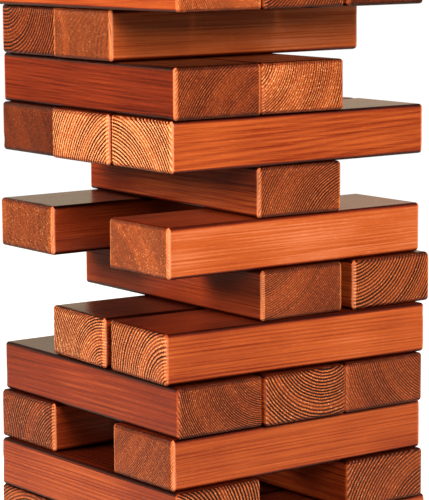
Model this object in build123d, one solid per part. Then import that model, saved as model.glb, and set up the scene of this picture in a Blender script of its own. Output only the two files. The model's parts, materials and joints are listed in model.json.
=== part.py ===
from build123d import *
import os

# Giant tumbling tower, part way through a game.
#
# Fifty-four identical pine blocks are stacked in courses of three. Odd courses lie along Y and
# even courses along X. Nine blocks have been drawn from the middle of the tower and stand on
# top of it as three more courses, so eighteen courses have become twenty-one.
#
# Frame: the origin is the middle of the tower's foot, on the ground. +Z is up, X and Y run
# along the two sides of the square footprint. All lengths are in millimetres.

# ---- The block, cut from dressed 90 x 45 framing pine ---------------------------------------
BLOCK_LENGTH = 280.0
BLOCK_WIDTH = 90.0
BLOCK_THICKNESS = 44.8
LONG_ARRIS_RADIUS = 3.0   # the planed timber's own rounded long edges
END_ARRIS_RADIUS = 2.8    # the sanded edges round each sawn end

# ---- The stack ------------------------------------------------------------------------------
COURSE_PITCH = 45.0       # a block's thickness, and 0.2 mm for the high spots it rests on
SIDE_GAP = 1.0            # between two neighbours of a neatly laid course
SLOT_PITCH = BLOCK_WIDTH + SIDE_GAP

# Where a block of each name lies across its course, counted in slots from the middle.
SLOTS_ALONG_Y = {"left": -1, "middle": 0, "right": 1}
SLOTS_ALONG_X = {"front": -1, "middle": 0, "back": 1}

# The courses from the ground up. Each is its turn about the tower's axis in degrees, and then
# the blocks that it still holds, each with how far it has slipped along its own length and
# across the course. A slot with no block has been played.
COURSES = [
    (0.0, {"left": (0, 0), "middle": (0, 0), "right": (0, 0)}),
    (0.3, {"front": (1.5, -0.5), "middle": (-1, 0), "back": (2, 0.5)}),
    (-0.4, {"left": (-2, -1), "middle": (1, 0), "right": (0, 0.5)}),
    (0.5, {"front": (4.5, -2), "middle": (-2, -0.5), "back": (-5, -0.5)}),
    (1.0, {"left": (-5, -8.5), "right": (-3.5, -0.5)}),
    (0.7, {"front": (-3.5, -3), "back": (-1.5, 3)}),
    (0.35, {"left": (-2, -1.7), "middle": (-6, -2.3), "right": (-5.5, -3)}),
    (-2.2, {"front": (3.5, -1), "middle": (2, 6)}),
    (0.2, {"middle": (5.5, 3), "right": (3.5, 13)}),
    (0.1, {"front": (3.5, 7.5), "back": (4.5, 9)}),
    (-1.8, {"middle": (9.5, 8)}),
    (0.4, {"front": (4.4, 4.7), "middle": (2, 5), "back": (6.3, 5.5)}),
    (-0.5, {"left": (2.5, 4), "middle": (4.5, 4.5)}),
    (1.1, {"middle": (4, 4), "back": (7, 3.5)}),
    (1.9, {"left": (0, -4.5), "middle": (0.5, -2.5), "right": (1.5, 1.5)}),
    (1.2, {"front": (3, -1), "middle": (5, 0), "back": (2, 1)}),
    (0.4, {"left": (1, -1.5), "middle": (3, 0), "right": (-1, 2)}),
    (-0.6, {"front": (2, -0.5), "middle": (-1, 0.5), "back": (3, 1)}),
    (1.4, {"left": (4, -3), "middle": (-2, 0), "right": (1, 4)}),
    (-1.2, {"front": (-3, -2), "middle": (5, 1), "back": (0, 3)}),
    (0.8, {"left": (2, -2), "middle": (-4, 0), "right": (3, 2.5)}),
]


def lies_along_x(course):
    """Whether the blocks of a course, counted from 1 at the ground, lie along X."""
    return course % 2 == 0


def block_places():
    """Every block as its node name, its course, its centre in the tower's unturned frame and its turn."""
    places = []
    for course, (turn, blocks) in enumerate(COURSES, start=1):
        along_x = lies_along_x(course)
        slots = SLOTS_ALONG_X if along_x else SLOTS_ALONG_Y
        height = (course - 1) * COURSE_PITCH + BLOCK_THICKNESS / 2
        for slot, (slip, nudge) in blocks.items():
            across = slots[slot] * SLOT_PITCH + nudge
            centre = (slip, across, height) if along_x else (across, slip, height)
            places.append((f"course_{course:02d}_{slot}_block", course, centre, turn))
    return places


def block_along_y():
    """One block about the origin with its grain along Y: four rounded long edges, then both ends eased."""
    block = Box(BLOCK_WIDTH, BLOCK_LENGTH, BLOCK_THICKNESS)
    block = fillet(block.edges().filter_by(Axis.Y), LONG_ARRIS_RADIUS)
    ends = block.faces().sort_by(Axis.Y)
    end_edges = ends[0].edges() + ends[-1].edges()
    return fillet(end_edges, END_ARRIS_RADIUS)


def build_tower():
    """The tower as a dictionary from node name to placed block."""
    y_block = block_along_y()
    x_block = Rot(0, 0, -90) * y_block
    tower = {}
    for name, course, centre, turn in block_places():
        block = x_block if lies_along_x(course) else y_block
        tower[name] = Rot(0, 0, turn) * Pos(*centre) * block
    return tower


if __name__ == "__main__":
    os.makedirs("parts", exist_ok=True)
    for node, block in build_tower().items():
        export_step(block, f"parts/{node}.step")
    print(f"{len(block_places())} blocks in {len(COURSES)} courses")
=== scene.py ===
# %% [markdown]
# # A giant tumbling tower in Blender
# This lesson dresses a tower of stained pine blocks. The shapes, the places of the blocks and the way they
# move come from a CAD frame, which is loaded first and never changed. Blender's share is what the eye
# reads as wood: eased and slightly bruised arrises, growth rings that run right through each block, a
# redwood stain that lies differently on planed sides and sawn ends, painted shade on the wide faces and
# level arrises, a painted highlight on the upright arrises, and a semi-gloss varnish.

# %% Load the frame
import json
import math
import random

import bmesh
import bpy
import numpy as np
from mathutils import Matrix, Vector, noise


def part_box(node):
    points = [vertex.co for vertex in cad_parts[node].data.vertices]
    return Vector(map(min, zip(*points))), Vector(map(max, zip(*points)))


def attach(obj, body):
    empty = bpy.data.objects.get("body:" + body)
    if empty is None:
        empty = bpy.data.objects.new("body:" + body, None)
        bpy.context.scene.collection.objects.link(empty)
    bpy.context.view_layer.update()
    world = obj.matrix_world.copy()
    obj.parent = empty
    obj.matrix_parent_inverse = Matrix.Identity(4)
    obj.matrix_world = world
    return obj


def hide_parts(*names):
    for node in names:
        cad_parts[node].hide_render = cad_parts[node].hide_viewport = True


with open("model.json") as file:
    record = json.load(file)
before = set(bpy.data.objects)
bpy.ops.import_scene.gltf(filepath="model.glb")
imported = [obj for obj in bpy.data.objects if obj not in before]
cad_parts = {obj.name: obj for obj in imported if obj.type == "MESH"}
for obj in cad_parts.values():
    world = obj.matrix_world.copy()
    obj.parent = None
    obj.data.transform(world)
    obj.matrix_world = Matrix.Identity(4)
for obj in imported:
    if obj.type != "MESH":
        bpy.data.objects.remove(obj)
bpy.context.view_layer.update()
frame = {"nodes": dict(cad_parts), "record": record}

MM = 0.001

# %% [markdown]
# ## Where each block lies
# A block's node holds its place in its vertices. The middle of its box is the middle of the block, and the
# direction in which its corners spread furthest is its length, which gives its turn without typing in a
# single angle. The grain, the dents and the pattern of each block are then made in the block's own
# measure, with X across it, Y along it and Z up, and turned into place at the end.

# %% Read the blocks from the frame
BLOCK_LENGTH, BLOCK_WIDTH, BLOCK_THICKNESS = 280 * MM, 90 * MM, 44.8 * MM
BLOCK_SIZE = (BLOCK_WIDTH, BLOCK_LENGTH, BLOCK_THICKNESS)
LONG_ARRIS, END_ARRIS = 3.0 * MM, 2.8 * MM  # the radii of the eased edges


def block_place(node):
    """The middle of a block, and its turn about Z, with its own Y along its length."""
    low, high = (Vector(corner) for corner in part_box(node))
    mesh = frame["nodes"][node].data
    flat = np.array([vertex.co[:2] for vertex in mesh.vertices])
    spread, directions = np.linalg.eigh(np.cov((flat - flat.mean(axis=0)).T))
    along = directions[:, int(np.argmax(spread))]
    if along.sum() < 0:
        along = -along
    return (low + high) / 2, math.atan2(-along[0], along[1])


places = {node: block_place(node) for node in sorted(frame["nodes"])}
tower_top = max(middle.z for middle, turn in places.values()) + BLOCK_THICKNESS / 2
print("tower stands", round(tower_top, 4), "m high")

# %% [markdown]
# ## Camera
# The camera stands a good two metres off, a little above the middle of the tower and looking gently down
# at it, so the lens is a long one. A long lens keeps the two sides of the tower nearly parallel, as a
# product photographer would. Only the middle courses fill the frame.

# %% Place the camera
CAMERA_PLACE = Vector((-1.2402, -1.7114, 0.7143))
CAMERA_HEADING = math.radians(36.055)  # from +Y towards +X
CAMERA_DIP = math.radians(8.345)
CAMERA_LEAN = math.radians(0.333)
LENS = 167.05

camera_data = bpy.data.cameras.new("camera")
camera_data.lens = LENS
camera_data.clip_start, camera_data.clip_end = 0.05, 100
camera = bpy.data.objects.new("camera", camera_data)
bpy.context.collection.objects.link(camera)
camera.matrix_world = (
    Matrix.Translation(CAMERA_PLACE)
    @ Matrix.Rotation(-CAMERA_HEADING, 4, "Z")
    @ Matrix.Rotation(math.radians(90) - CAMERA_DIP, 4, "X")
    @ Matrix.Rotation(-CAMERA_LEAN, 4, "Z")
)
bpy.context.scene.camera = camera

# %% [markdown]
# ## A node helper
# Every material here is made of nodes, and most of them are one of a few kinds: arithmetic, noise and
# mixes of colour. A small helper that adds a node, sets it up and feeds its inputs keeps the recipes
# readable. An input is given by its name or place, as a value or as another node's output.


# %% Helpers for node trees
class Bench:
    """A node tree with short ways to add what this lesson uses."""

    def __init__(self, tree):
        self.tree = tree

    def node(self, kind, inputs=None, **settings):
        made = self.tree.nodes.new(kind)
        for name, value in settings.items():
            setattr(made, name, value)
        for socket, value in (inputs or {}).items():
            if isinstance(value, bpy.types.NodeSocket):
                self.tree.links.new(value, made.inputs[socket])
            else:
                made.inputs[socket].default_value = value
        return made

    def math(self, operation, a, b=0.0, c=0.0):
        return self.node("ShaderNodeMath", {0: a, 1: b, 2: c}, operation=operation).outputs[0]

    def sway(self, value, mask, middle, weight):
        """value, moved by weight for each unit that mask lies above middle."""
        if middle:
            mask = self.math("SUBTRACT", mask, middle)
        return self.math("MULTIPLY_ADD", mask, weight, value)

    def smooth(self, value, low, high, to_low=0.0, to_high=1.0):
        """value eased from to_low at low to to_high at high."""
        sockets = {"Value": value, "From Min": low, "From Max": high, "To Min": to_low, "To Max": to_high}
        made = self.node("ShaderNodeMapRange", sockets, interpolation_type="SMOOTHSTEP")
        return made.outputs["Result"]

    def vector(self, operation, a, b=(0.0, 0.0, 0.0)):
        return self.node("ShaderNodeVectorMath", {0: a, 1: b}, operation=operation).outputs[0]

    def join(self, x=0.0, y=0.0, z=0.0):
        return self.node("ShaderNodeCombineXYZ", {0: x, 1: y, 2: z}).outputs[0]

    def noise(self, place, scale=(1.0, 1.0, 1.0), detail=2.0, roughness=0.5):
        """Smooth noise from about 0 to 1, with its own scale in each direction."""
        stretched = self.vector("MULTIPLY", place, scale)
        sockets = {"Vector": stretched, "Scale": 1.0, "Detail": detail, "Roughness": roughness}
        return self.node("ShaderNodeTexNoise", sockets).outputs["Fac"]

    def mix(self, amount, a, b):
        made = self.node("ShaderNodeMix", data_type="RGBA")
        for socket, value in ((made.inputs[0], amount), (made.inputs[6], a), (made.inputs[7], b)):
            if isinstance(value, bpy.types.NodeSocket):
                self.tree.links.new(value, socket)
            else:
                socket.default_value = value
        return made.outputs[2]

    def ramp(self, amount, stops):
        """The colour at amount between stops, each a position and a colour."""
        made = self.node("ShaderNodeValToRGB", {"Fac": amount})
        elements = made.color_ramp.elements
        while len(elements) < len(stops):
            elements.new(0.5)
        for element, (position, colour) in zip(elements, stops):
            element.position, element.color = position, (*colour, 1.0)
        return made.outputs["Color"]


def new_group(name, inputs, outputs):
    """An empty shader node group, with each input's usual value and each output's kind."""
    group = bpy.data.node_groups.new(name, "ShaderNodeTree")
    for label, value in inputs.items():
        kind = "NodeSocketVector" if isinstance(value, tuple) else "NodeSocketFloat"
        socket = group.interface.new_socket(label, in_out="INPUT", socket_type=kind)
        socket.default_value = value
    for label, kind in outputs.items():
        group.interface.new_socket(label, in_out="OUTPUT", socket_type=f"NodeSocket{kind}")
    bench = Bench(group)
    return bench, bench.node("NodeGroupInput").outputs, group


def put_out(bench, results):
    """Feeds a group's outputs."""
    bench.node("NodeGroupOutput", results)


# %% [markdown]
# ## Growth rings
# A tree grows in nested tubes about its pith, and a sawn block is a piece cut out of them. So the rings
# could be painted as one picture on the end and another on each side, but then they never meet at the
# arris. Here they are a solid pattern instead: each point of the block is asked how far it lies from the
# pith, and that distance is cut into years. The ends then show arcs, and the sides show the same years
# as long lines, with no seam. Spring wood is pale and wide, and it darkens into a thin line of summer
# wood with a sharp outer edge. The years differ in width and strength, and the pith wanders a little
# along the block, which is what bends the side grain into long waves.
#
# A noise's scale is given in turns for each metre across, along and up, so a small number along the
# block draws the pattern out with the grain.

# %% Build the ring group
BEND_SCALE, RIPPLE_SCALE = (7.0, 3.5, 7.0), (70.0, 6.0, 70.0)
RIPPLE_DEPTH = 1.2 * MM
LEAN_YEARS_SCALE, LEAN_YEARS = (40.0, 1.0, 1.0), 1.8  # lean and fat years, by how many years they shift
ZONE_SCALE = (75.0, 3.0, 5.0)  # runs of years with strong or faint summer wood

b, given, RINGS = new_group(
    "Growth rings",
    {
        "Place": (0.0, 0.0, 0.0),
        "Pith Across": 0.05,
        "Pith Up": -0.04,
        "Slope Across": 0.0,
        "Slope Up": 0.0,
        "Year Width": 0.003,
        "Wander": 0.004,
        "Seed": 0.0,
    },
    {"Rings": "Float"},
)
split = b.node("ShaderNodeSeparateXYZ", {0: given["Place"]}).outputs
seeded = b.vector("ADD", given["Place"], b.join(given["Seed"], given["Seed"], given["Seed"]))
bend = b.noise(seeded, BEND_SCALE, detail=1.0)
ripple = b.noise(seeded, RIPPLE_SCALE)
pith_across = b.math("MULTIPLY_ADD", split[1], given["Slope Across"], given["Pith Across"])
pith_up = b.math("MULTIPLY_ADD", split[1], given["Slope Up"], given["Pith Up"])
across = b.math("SUBTRACT", split[0], pith_across)
up = b.math("SUBTRACT", split[2], pith_up)
from_pith = b.math("SQRT", b.math("ADD", b.math("MULTIPLY", across, across), b.math("MULTIPLY", up, up)))
from_pith = b.sway(from_pith, bend, 0.5, given["Wander"])
from_pith = b.sway(from_pith, ripple, 0.5, RIPPLE_DEPTH)
growth = b.join(from_pith, given["Seed"], given["Seed"])
lean_years = b.noise(growth, LEAN_YEARS_SCALE, detail=1.0)
years = b.math("DIVIDE", from_pith, given["Year Width"])
years = b.math("MULTIPLY_ADD", lean_years, LEAN_YEARS, years)
season = b.math("FRACT", years)
summer = b.math("MULTIPLY", b.smooth(season, 0.25, 0.62), b.smooth(season, 0.82, 1.0, 1.0, 0.0))
year_chance = b.node("ShaderNodeTexWhiteNoise", {"Vector": b.join(b.math("FLOOR", years), given["Seed"])})
year_strength = b.smooth(year_chance.outputs["Value"], 0.0, 1.0, 0.6, 1.0)
zone = b.smooth(b.noise(growth, ZONE_SCALE, detail=0.0), 0.35, 0.6, 0.5, 1.0)
put_out(b, {"Rings": b.math("MULTIPLY", b.math("MULTIPLY", summer, year_strength), zone)})
print("ring group holds", len(RINGS.nodes), "nodes")

# %% [markdown]
# ## Fibres
# Between the rings, wood is a bundle of fibres along the block. On the sides they show as fine streaks
# and short pale flecks, and on the ends, where they are cut through, as fine speckle. Noise that is
# stretched along the block gives both at once, because it too is solid. A second, slower noise stands
# for the uneven take-up of the stain.

# %% Build the fibre group
STREAK_SCALE = (640.0, 6.0, 640.0)  # long and fine
FLECK_SCALE = (1000.0, 110.0, 1000.0)  # short and finer still
BLOTCH_SCALE = (16.0, 7.0, 16.0)  # hand-sized patches of stain

b, given, FIBRES = new_group(
    "Fibres",
    {"Place": (0.0, 0.0, 0.0), "Seed": 0.0},
    {"Streaks": "Float", "Flecks": "Float", "Blotches": "Float"},
)
seeded = b.vector("ADD", given["Place"], b.join(given["Seed"], given["Seed"], given["Seed"]))
streaks = b.noise(seeded, STREAK_SCALE, detail=3.0, roughness=0.7)
flecks = b.noise(seeded, FLECK_SCALE, detail=1.0)
blotches = b.noise(seeded, BLOTCH_SCALE)
put_out(b, {
    "Streaks": b.smooth(streaks, 0.3, 0.7),
    "Flecks": b.smooth(flecks, 0.56, 0.75),
    "Blotches": b.smooth(blotches, 0.25, 0.75),
})
print("fibre group holds", len(FIBRES.nodes), "nodes")

# %% [markdown]
# ## Ends and arrises
# The sawn ends take the stain differently from the narrow planed sides, the wide top and bottom faces get
# painted shade, and the eased edges get painted light and shade. All can be told from the place alone: an
# end lies at half the length, a wide face at half the thickness, and an arris is where two of the three
# measures are near their limit at once. The arrises fall into two kinds: the level ones get a line of
# painted shade, and the upright ones at a block's corners get a painted highlight. Masks made from the
# place, and not from the shape's curvature, stay the same when the pattern is baked.

# %% Build the ends and arrises group
b, given, EDGES = new_group(
    "Ends and arrises",
    {"Place": (0.0, 0.0, 0.0)},
    {"End": "Float", "Wide Face": "Float", "Level Arris": "Float", "Upright Arris": "Float"},
)
flat_half = tuple(size / 2 - arris for size, arris in zip(BLOCK_SIZE, (LONG_ARRIS, END_ARRIS, LONG_ARRIS)))
past_flat = b.vector("SUBTRACT", b.vector("ABSOLUTE", given["Place"]), flat_half)
across, along, up = b.node("ShaderNodeSeparateXYZ", {0: past_flat}).outputs
level_arris = b.math("MINIMUM", up, b.math("MAXIMUM", across, along))
upright_arris = b.math("MINIMUM", along, across)
put_out(b, {
    "End": b.smooth(along, 0.8 * MM, 2.2 * MM),
    "Wide Face": b.smooth(up, 0.0, 2.5 * MM),
    "Level Arris": b.smooth(level_arris, -0.8 * MM, 0.8 * MM),
    "Upright Arris": b.smooth(upright_arris, -0.8 * MM, 0.5 * MM),
})
print("edge group holds", len(EDGES.nodes), "nodes")

# %% [markdown]
# ## Saw marks
# The ends come straight off a crosscut saw. Its teeth leave fine parallel scratches that run slantwise
# over the end grain, fainter in some places than in others. A wave turned to that slant, drifting and
# broken up by noise, is enough.

# %% Build the saw mark group
SAW_PITCH = 1.9 * MM
SAW_DRIFT_SCALE, SAW_DRIFT = (40.0, 40.0, 40.0), 2.5  # how far the strokes drift, in strokes

b, given, SAWING = new_group(
    "Saw marks",
    {"Place": (0.0, 0.0, 0.0), "Slant": 0.8, "Pitch": SAW_PITCH, "Seed": 0.0},
    {"Scratches": "Float"},
)
split = b.node("ShaderNodeSeparateXYZ", {0: given["Place"]}).outputs
sweep_across = b.math("MULTIPLY", split[0], b.math("COSINE", given["Slant"]))
sweep_up = b.math("MULTIPLY", split[2], b.math("SINE", given["Slant"]))
strokes = b.math("DIVIDE", b.math("ADD", sweep_across, sweep_up), given["Pitch"])
drift_place = b.vector("MULTIPLY", given["Place"], SAW_DRIFT_SCALE)
drift = b.noise(b.vector("ADD", drift_place, b.join(given["Seed"])))
phase = b.math("MULTIPLY_ADD", drift, SAW_DRIFT, strokes)
scratch = b.math("MULTIPLY_ADD", b.math("SINE", b.math("MULTIPLY", phase, 2 * math.pi)), 0.5, 0.5)
put_out(b, {"Scratches": b.math("MULTIPLY", scratch, b.smooth(drift, 0.35, 0.65, 0.25, 1.0))})
print("saw mark group holds", len(SAWING.nodes), "nodes")

# %% [markdown]
# ## The stain, with painted light and shade
# A redwood stain is a thin, transparent red-brown, so the wood shows through it from nearly black in the
# summer wood to a warm orange in the spring wood. One tone, from 0 for the deepest to 1 for the palest,
# gathers everything that the stain reacts to, together with painted shade and a painted highlight, and a
# ramp turns it to colour. Each pattern and part of a block pulls the tone its own way: the wide faces and
# the level arrises are darkened as painted shade, and the upright arrises are lifted towards a pale tone
# as a painted highlight. The end grain gets a ramp of its own, browner and duller than the sides' ramp.

# %% Build the stain and painted light group
# Each pull is a mask, the value at which it pulls nothing, and how hard it pulls.
SIDE_PULLS = [
    ("Streaks", 0.5, 0.17),
    ("Flecks", 0.0, 0.06),
    ("Blotches", 0.5, 0.14),
    # painted shade: darkens the wide top and bottom faces, where less light falls
    ("Wide Face", 0.0, -0.36),
    # painted shade: a dark line along the level arrises, where they turn from the light
    ("Level Arris", 0.0, -0.26),
]
END_PULLS = [
    ("Streaks", 0.5, 0.20),
    ("Flecks", 0.25, 0.32),
    # painted shade along the top and bottom rims of the end
    ("Level Arris", 0.0, -0.20),
    ("Blotches", 0.5, 0.08),
]
# painted highlight: the pale tones that the upright arrises are lifted to
HIGHLIGHT_SIDE_TONE, HIGHLIGHT_END_TONE = 0.98, 0.95
END_HIGHLIGHT = 0.7  # how much of the painted highlight reaches round onto the end
SIDE_COLOURS = [
    (0.0, (0.006, 0.0008, 0.0004)),
    (0.25, (0.036, 0.0034, 0.0010)),
    (0.5, (0.105, 0.0115, 0.0024)),
    (0.75, (0.235, 0.0430, 0.0075)),
    (1.0, (0.360, 0.1200, 0.0550)),
]
END_COLOURS = [
    (0.0, (0.006, 0.0010, 0.0005)),
    (0.25, (0.036, 0.0050, 0.0014)),
    (0.5, (0.112, 0.0180, 0.0036)),
    (0.75, (0.245, 0.0560, 0.0120)),
    (1.0, (0.500, 0.2150, 0.0820)),
]
b, given, STAIN_AND_LIGHT = new_group(
    "Redwood stain and painted light",
    {
        "Tone": 0.5,
        "End Tone": 0.5,
        "Rings": 0.0,
        "Side Contrast": 0.3,
        "End Contrast": 0.5,
        "Streaks": 0.5,
        "Flecks": 0.0,
        "Blotches": 0.5,
        "Scratches": 0.0,
        "Sawing": 0.1,
        "Highlight": 0.5,
        "End": 0.0,
        "Wide Face": 0.0,
        "Level Arris": 0.0,
        "Upright Arris": 0.0,
    },
    {"Color": "Color", "Roughness": "Float", "Relief": "Float"},
)
# painted highlight on the upright arrises, with its strength set per block
arris_highlight = b.math("MULTIPLY", given["Upright Arris"], given["Highlight"])

side = b.math("SUBTRACT", given["Tone"], b.math("MULTIPLY", given["Rings"], given["Side Contrast"]))
for mask, middle, weight in SIDE_PULLS:
    side = b.sway(side, given[mask], middle, weight)
side = b.math("MULTIPLY_ADD", arris_highlight, b.math("SUBTRACT", HIGHLIGHT_SIDE_TONE, side), side)

end = b.math("SUBTRACT", given["End Tone"], b.math("MULTIPLY", given["Rings"], given["End Contrast"]))
for mask, middle, weight in END_PULLS:
    end = b.sway(end, given[mask], middle, weight)
end = b.math("SUBTRACT", end, b.math("MULTIPLY", given["Scratches"], given["Sawing"]))
# part of the painted highlight reaches round onto the end
end_highlight = b.math("MULTIPLY", arris_highlight, END_HIGHLIGHT)
end = b.math("MULTIPLY_ADD", end_highlight, b.math("SUBTRACT", HIGHLIGHT_END_TONE, end), end)

colour = b.mix(given["End"], b.ramp(side, SIDE_COLOURS), b.ramp(end, END_COLOURS))
roughness = b.sway(b.math("MULTIPLY_ADD", given["Streaks"], 0.08, 0.26), given["End"], 0.0, 0.18)
ring_relief = b.math("MULTIPLY", given["Rings"], b.math("MULTIPLY_ADD", given["End"], 0.7, 0.3))
saw_relief = b.math("MULTIPLY", b.math("MULTIPLY", given["Scratches"], given["End"]), given["Sawing"])
relief = b.math("SUBTRACT", b.math("MULTIPLY_ADD", given["Streaks"], 0.35, ring_relief), saw_relief)
put_out(b, {"Color": colour, "Roughness": roughness, "Relief": relief})
print("stain group holds", len(STAIN_AND_LIGHT.nodes), "nodes")

# %% [markdown]
# ## Which block is cut how
# No two blocks come from the same part of the tree. Each has its own pith, given in millimetres across
# and up from its middle as one looks at its near end, its own width of year in millimetres, its own tone
# on the planed sides and on the sawn ends, and its own strength of rings. Some blocks also have deeper
# saw marks, a pith that wanders more, or a stronger or weaker painted highlight on their upright corners
# than most. The blocks that a player faces are chosen one by one, and the rest of the set is dealt from
# the same range by chance.

# %% Choose the timber
# highlight sets the strength of the painted highlight on a block's upright arrises
CHOSEN_TIMBER = {
    "course_15_left": dict(pith=(70, 40), year=1.8, tone=0.6, end=0.72, rings=0.12),
    "course_15_middle": dict(pith=(-60, 30), year=2.6, tone=0.6, end=0.66, rings=0.55),
    "course_15_right": dict(pith=(60, -80), year=1.6, tone=0.5, end=0.42, rings=0.15),
    "course_14_back": dict(pith=(-40, 36), year=3.2, tone=0.42, end=0.58, rings=0.25, highlight=0.85),
    "course_14_middle": dict(pith=(-75, -8), year=1.9, tone=0.76, end=0.74, rings=0.24, wander=9, highlight=0.85),
    "course_13_left": dict(pith=(90, -90), year=2.2, tone=0.4, end=0.63, rings=0.15, sawing=0.14, highlight=0.85),
    "course_13_middle": dict(pith=(-60, 28), year=2.4, tone=0.55, end=0.85, rings=0.2, sawing=0.2, highlight=0.3),
    "course_12_back": dict(pith=(-120, -70), year=1.6, tone=0.48, end=0.44, rings=0.08),
    "course_12_middle": dict(pith=(72, -50), year=3.1, tone=0.66, end=0.93, rings=0.42, highlight=0.85),
    "course_12_front": dict(pith=(-48, -62), year=3.1, tone=0.69, end=0.97, rings=0.42, highlight=0.85),
    "course_11_middle": dict(pith=(70, -55), year=2.2, tone=0.56, end=0.67, rings=0.33, highlight=0.85),
    "course_10_back": dict(pith=(-80, 10), year=2.0, tone=0.49, end=0.71, rings=0.34, highlight=0.85),
    "course_10_front": dict(pith=(-100, -90), year=1.7, tone=0.77, end=0.71, rings=0.22, highlight=0.85),
    "course_09_middle": dict(pith=(-60, 70), year=1.9, tone=0.48, end=0.65, rings=0.28, sawing=0.1,
                             highlight=0.85),
    "course_09_right": dict(pith=(-44, 50), year=3.0, tone=0.55, end=0.76, rings=0.42, highlight=0.85),
    "course_08_middle": dict(pith=(42, -27), year=2.6, tone=0.56, end=0.88, rings=0.42, highlight=0.85),
    "course_08_front": dict(pith=(48, -30), year=3.2, tone=0.67, end=0.87, rings=0.38),
    "course_07_left": dict(pith=(50, 38), year=1.9, tone=0.47, end=0.67, rings=0.25, sawing=0.12, highlight=0.3),
    "course_07_middle": dict(pith=(23, 52), year=2.8, tone=0.55, end=0.79, rings=0.5, highlight=0.3),
    "course_07_right": dict(pith=(70, 55), year=2.2, tone=0.5, end=0.67, rings=0.24, highlight=0.3),
    "course_06_back": dict(pith=(60, -40), year=2.8, tone=0.5, end=0.65, rings=0.32, highlight=0.85),
    "course_06_front": dict(pith=(-110, 100), year=1.7, tone=0.66, end=0.65, rings=0.14, highlight=0.85),
    "course_05_left": dict(pith=(-55, -20), year=3.0, tone=0.59, end=0.78, rings=0.5),
    "course_05_right": dict(pith=(65, -60), year=3.2, tone=0.55, end=0.73, rings=0.3, highlight=0.3),
    "course_04_back": dict(pith=(10, -60), year=2.8, tone=0.55, end=0.75, rings=0.3),
    "course_04_front": dict(pith=(-60, -50), year=2.6, tone=0.66, end=0.75, rings=0.3),
}
TONE_OF_SLOT = {
    "redwood_stained_pine": 0.56,
    "light_redwood_stained_pine": 0.7,
    "dark_redwood_stained_pine": 0.45,
}
slot_of_node = {part["node"]: part["material_slot"] for part in frame["record"]["subparts"]}
deal = random.Random(54)


def dealt_timber(slot):
    """Timber for a block that was not chosen one by one."""
    tone = TONE_OF_SLOT[slot] + deal.uniform(-0.04, 0.04)
    pith = (deal.choice((-1, 1)) * deal.uniform(10, 90), deal.choice((-1, 1)) * deal.uniform(28, 90))
    return dict(
        pith=pith,
        year=deal.uniform(1.8, 3.4),
        tone=tone,
        end=tone + deal.uniform(-0.02, 0.1),
        rings=deal.uniform(0.15, 0.55),
    )


SEED_STEP = 1.37  # how far apart two blocks lie in the noise
timber = {}
for number, node in enumerate(places):
    slope = (deal.uniform(-0.03, 0.03), deal.uniform(-0.03, 0.03))
    cut = dict(sawing=0.08, highlight=0.5, wander=5, slope=slope, seed=number * SEED_STEP)
    cut.update(dealt_timber(slot_of_node[node]))
    cut.update(CHOSEN_TIMBER.get(node.removesuffix("_block"), {}))
    timber[node] = cut
print(len(CHOSEN_TIMBER), "blocks chosen by hand,", len(timber) - len(CHOSEN_TIMBER), "dealt")

# %% [markdown]
# ## The finish of one block
# Each block's material is the same few groups with the block's own values. A Mapping node set to Texture
# takes the block's turn and place away from the coordinates, so the pattern lies in the block and travels
# with it. The varnish is a thin clear coat over a satin base. It follows the grain, so the relief bends
# the coat's reflections too.


# %% Make a block's material
def set_inputs(group, values):
    for label, value in values.items():
        group.inputs[label].default_value = value


def stained_pine(node):
    """The finish of one block, centred and turned with it."""
    cut = timber[node]
    middle, turn = places[node]
    material = bpy.data.materials.new(f"stained pine {node}")
    material.use_nodes = True
    material.node_tree.nodes.clear()
    m = Bench(material.node_tree)
    own_place = m.node("ShaderNodeMapping", {
        "Vector": m.node("ShaderNodeTexCoord").outputs["Object"],
        "Location": middle,
        "Rotation": (0, 0, turn),
    }, vector_type="TEXTURE").outputs[0]
    # the stain group's colour holds the stain and also the painted shade and painted highlight
    rings, fibres, edges, sawing, stain = (
        m.node("ShaderNodeGroup", node_tree=tree) for tree in (RINGS, FIBRES, EDGES, SAWING, STAIN_AND_LIGHT)
    )
    set_inputs(rings, {
        "Pith Across": cut["pith"][0] * MM,
        "Pith Up": cut["pith"][1] * MM,
        "Slope Across": cut["slope"][0],
        "Slope Up": cut["slope"][1],
        "Year Width": cut["year"] * MM,
        "Wander": cut["wander"] * MM,
        "Seed": cut["seed"],
    })
    set_inputs(fibres, {"Seed": cut["seed"]})
    set_inputs(sawing, {"Slant": 0.8 if cut["seed"] % 2 < 1 else -0.7, "Seed": cut["seed"]})
    set_inputs(stain, {
        "Tone": cut["tone"],
        "End Tone": cut["end"],
        "Side Contrast": 0.05 + 0.16 * cut["rings"],
        "End Contrast": 0.14 + 2.2 * cut["rings"],
        "Sawing": cut["sawing"],
        "Highlight": cut["highlight"],
    })
    for group in (rings, fibres, edges, sawing):
        m.tree.links.new(own_place, group.inputs["Place"])
        for output in group.outputs:
            m.tree.links.new(output, stain.inputs[output.name])
    bump = m.node("ShaderNodeBump", {
        "Strength": 0.35,
        "Distance": 0.25 * MM,
        "Height": stain.outputs["Relief"],
    })
    varnish = m.node("ShaderNodeBsdfPrincipled", {
        "Base Color": stain.outputs["Color"],
        "Roughness": stain.outputs["Roughness"],
        "Specular IOR Level": 0.2,
        "Coat Weight": 0.25,
        "Coat Roughness": 0.2,
        "Normal": bump.outputs["Normal"],
        "Coat Normal": bump.outputs["Normal"],
    })
    m.node("ShaderNodeOutputMaterial", {"Surface": varnish.outputs[0]})
    return material


# %% [markdown]
# ## The shape of one block
# A block starts as a box and gets its long arrises rounded by the planer and its ends eased by hand. It
# could stay that clean, but a lawn game's blocks are dropped on each other all day. So the faces are cut
# into a grid, and the arrises are bruised a little: each bruise pushes the arris's points inwards, never
# out, so the block stays inside its true size.

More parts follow.
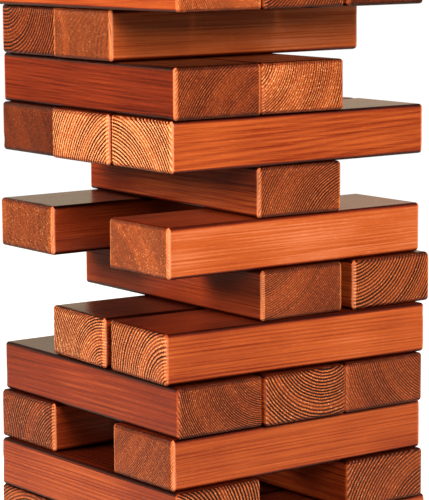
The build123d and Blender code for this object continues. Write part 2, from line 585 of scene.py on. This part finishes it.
# %% Shape a block
SLICES_ALONG, SLICES_ACROSS, SLICES_UP = 76, 12, 6
ARRIS_STEPS = 4
FLAT_MARGIN = 0.4 * MM  # from the rounding to the first cut in the flat
SAME_PLACE = 1e-6


def round_edges(bm, edges, radius):
    bmesh.ops.bevel(bm, geom=edges, offset=radius, offset_type="OFFSET", segments=ARRIS_STEPS,
                    profile=0.5, affect="EDGES", material=-1)


def eased_box():
    """A box of the block's size with rounded arrises, in its own measure."""
    bm = bmesh.new()
    bmesh.ops.create_cube(bm, size=1.0)
    bmesh.ops.scale(bm, vec=BLOCK_SIZE, verts=bm.verts)
    long_edges = [e for e in bm.edges if abs(e.verts[0].co.y - e.verts[1].co.y) > BLOCK_LENGTH / 2]
    round_edges(bm, long_edges, LONG_ARRIS)
    ends = [f for f in bm.faces if abs(f.normal.y) > 0.9]
    rims = {e for f in ends for e in f.edges}
    round_edges(bm, list(rims), END_ARRIS)
    return bm


def cut_grid(bm):
    """Cuts the faces into a grid that starts right beside the arrises, so their shading stays flat."""
    for axis, size, margin, slices in (
        (0, BLOCK_WIDTH, LONG_ARRIS, SLICES_ACROSS),
        (1, BLOCK_LENGTH, END_ARRIS, SLICES_ALONG),
        (2, BLOCK_THICKNESS, LONG_ARRIS, SLICES_UP),
    ):
        edge = size / 2 - margin - FLAT_MARGIN
        normal = [0.0, 0.0, 0.0]
        normal[axis] = 1.0
        for step in range(slices + 1):
            point = [0.0, 0.0, 0.0]
            point[axis] = -edge + 2 * edge * step / slices
            geometry = bm.verts[:] + bm.edges[:] + bm.faces[:]
            bmesh.ops.bisect_plane(bm, geom=geometry, dist=SAME_PLACE, plane_co=point, plane_no=normal)


blank = eased_box()
cut_grid(blank)
blank_mesh = bpy.data.meshes.new("block blank")
blank.to_mesh(blank_mesh)
blank.free()
print("a blank block has", len(blank_mesh.polygons), "faces")

# %% [markdown]
# The bruises are small, all of them under a millimetre deep, and they sit on the arrises and corners,
# where a falling block lands. Along the arrises, the easing itself is also slightly uneven, as hand
# sanding is.

# %% Bruise a block
BRUISES_PER_BLOCK = 9
ARRIS_DEPTH = 2.9 * MM  # a point nearer than this to two faces belongs to an arris
SANDING, SANDING_SCALE = 0.12 * MM, 60


def arris_point(chance):
    """A random point on one of the block's arrises, corners more often than elsewhere."""
    corner = Vector([chance.choice((-1, 1)) * size / 2 for size in BLOCK_SIZE])
    if chance.random() < 0.65:
        axis = chance.choice((0, 1, 1, 2))
        corner[axis] *= chance.uniform(-1, 1)
    return corner


def bruise(bm, chance):
    """Presses small dents into the arrises and makes their easing a little uneven."""
    dents = [(arris_point(chance), chance.uniform(3.5, 8) * MM, chance.uniform(0.25, 0.8) * MM)
             for _ in range(BRUISES_PER_BLOCK)]
    offset = Vector([chance.uniform(0, 50) for _ in range(3)])
    half = Vector(BLOCK_SIZE) / 2
    for vertex in bm.verts:
        at_face = [abs(vertex.co[i]) > half[i] - ARRIS_DEPTH for i in range(3)]
        if sum(at_face) < 2:
            continue
        pushes = [-math.copysign(1, vertex.co[i]) if at_face[i] else 0 for i in range(3)]
        inwards = Vector(pushes).normalized()
        depth = SANDING * (1 + noise.noise(vertex.co * SANDING_SCALE + offset))
        for point, radius, deep in dents:
            distance = (vertex.co - point).length
            if distance < radius:
                depth += deep * (1 - (distance / radius) ** 2) ** 2
        vertex.co += inwards * depth


def make_block(node):
    """The finished block for one CAD node, with its own bruises and finish."""
    middle, turn = places[node]
    bm = bmesh.new()
    bm.from_mesh(blank_mesh)
    bruise(bm, random.Random(f"bruises of {node}"))
    bmesh.ops.rotate(bm, cent=(0, 0, 0), matrix=Matrix.Rotation(turn, 3, "Z"), verts=bm.verts)
    bmesh.ops.translate(bm, vec=middle, verts=bm.verts)
    mesh = bpy.data.meshes.new(node)
    bm.to_mesh(mesh)
    bm.free()
    mesh.shade_smooth()
    mesh.materials.append(stained_pine(node))
    block = bpy.data.objects.new(node.removesuffix("_block") + "_pine", mesh)
    bpy.context.collection.objects.link(block)
    return block


# %% [markdown]
# ## Stack the tower
# Each finished block takes the place of its plain CAD node and rides on the same body, so it slides when
# that body slides.

# %% Make all blocks
bodies = frame["record"]["behaviour"]["bodies"]
body_of_node = {node: body for body, nodes in bodies.items() for node in nodes}
for node in places:
    block = make_block(node)
    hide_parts(node)
    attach(block, body_of_node[node])
print("stacked", len(places), "blocks")

# %% [markdown]
# ## Floor and light
# The tower stands on a wide pale floor that runs out to the horizon, so the background is plain. Such a
# floor would also throw light up into every gap, so only the camera sees it at its full brightness, which
# is what a photographer gets by flagging the light off the backdrop. For every other ray it is a dim,
# warm floor. Close round the tower's foot it glows less, which leaves room for a faint contact shadow.

# %% Lay the floor
FLOOR_HALF_WIDTH = 40
FLOOR_COLOUR = (0.12, 0.108, 0.09, 1)
NEAR_GLOW, FAR_GLOW = 0.72, 1.0
GLOW_STARTS, GLOW_FULL = 0.25, 0.65  # metres from the tower's axis

floor_mesh = bpy.data.meshes.new("floor")
bm = bmesh.new()
bmesh.ops.create_grid(bm, x_segments=1, y_segments=1, size=FLOOR_HALF_WIDTH)
bm.to_mesh(floor_mesh)
bm.free()
floor = bpy.data.objects.new("floor", floor_mesh)
bpy.context.collection.objects.link(floor)
floor_finish = bpy.data.materials.new("pale floor")
floor_finish.use_nodes = True
floor_finish.node_tree.nodes.clear()
f = Bench(floor_finish.node_tree)
floor_place = f.node("ShaderNodeTexCoord").outputs["Object"]
from_tower = f.node("ShaderNodeVectorMath", {0: floor_place}, operation="LENGTH").outputs["Value"]
glow = f.smooth(from_tower, GLOW_STARTS, GLOW_FULL, NEAR_GLOW, FAR_GLOW)
camera_ray = f.node("ShaderNodeLightPath").outputs["Is Camera Ray"]
paint = f.node("ShaderNodeBsdfPrincipled", {
    "Base Color": FLOOR_COLOUR,
    "Roughness": 1.0,
    "Specular IOR Level": 0.0,
    "Emission Color": (1, 1, 1, 1),
    "Emission Strength": f.math("MULTIPLY", camera_ray, glow),
})
f.node("ShaderNodeOutputMaterial", {"Surface": paint.outputs[0]})
floor_mesh.materials.append(floor_finish)

# %% [markdown]
# Two soft boxes stand in front of the tower, one for each of its near sides. Raised a little over twenty
# degrees, each lights its side and leaves the recesses behind missing blocks dark. A small low one
# puts a glint on the near arrises. Two more light the far sides and one hangs above, so the tower reads
# from all round. Only the small one shows in the varnish: big white squares would lie over the grain as
# a veil. What the varnish does mirror is the sky, dim all round but with a warm paler band low above the
# horizon, which the tops of the blocks pick up where they are seen at a grazing angle.

# %% Set the lights
DIM_SKY, BACKDROP = (0.17, 0.17, 0.17, 1), (1.0, 1.0, 1.0, 1)
TOWER_MIDDLE = Vector((0, 0, 0.5))

world = bpy.data.worlds.new("studio")
bpy.context.scene.world = world
world.use_nodes = True
world.node_tree.nodes.clear()
w = Bench(world.node_tree)
height = w.node("ShaderNodeSeparateXYZ", {0: w.node("ShaderNodeTexCoord").outputs["Generated"]}).outputs[2]
mirrored_sky = w.ramp(height, [
    (0.0, (0.22, 0.2, 0.16)),
    (0.06, (1.0, 0.8, 0.56)),
    (0.3, (0.7, 0.56, 0.4)),
    (0.5, (0.1, 0.1, 0.1)),
])
rays = w.node("ShaderNodeLightPath").outputs
sky = w.mix(rays["Is Glossy Ray"], DIM_SKY, mirrored_sky)
sky = w.mix(rays["Is Camera Ray"], sky, BACKDROP)
backdrop = w.node("ShaderNodeBackground", {"Color": sky, "Strength": 1.0})
w.node("ShaderNodeOutputWorld", {"Surface": backdrop.outputs[0]})


def soft_box(name, place, size, power, mirrored=False):
    """A square light turned to the tower, which shows in the varnish if it is mirrored."""
    light = bpy.data.lights.new(name, "AREA")
    light.shape, light.size, light.energy = "SQUARE", size, power
    lamp = bpy.data.objects.new(name, light)
    bpy.context.collection.objects.link(lamp)
    lamp.visible_camera, lamp.visible_glossy = False, mirrored
    lamp.location = place
    lamp.rotation_euler = (TOWER_MIDDLE - Vector(place)).to_track_quat("-Z", "Y").to_euler()


soft_box("right soft box", (-0.32, -1.75, 1.36), size=0.9, power=118)
soft_box("left soft box", (-1.9, 0.45, 1.25), size=0.8, power=154)
soft_box("low soft box", (-1.4, -1.9, 0.2), size=0.3, power=14, mirrored=True)
soft_box("back soft box", (0.2, 2.6, 1.2), size=1.0, power=120)
soft_box("far soft box", (2.6, -0.2, 1.2), size=1.0, power=120)
soft_box("top soft box", (0.0, 0.0, 2.6), size=0.5, power=75)

bpy.context.scene.view_settings.view_transform = "Standard"
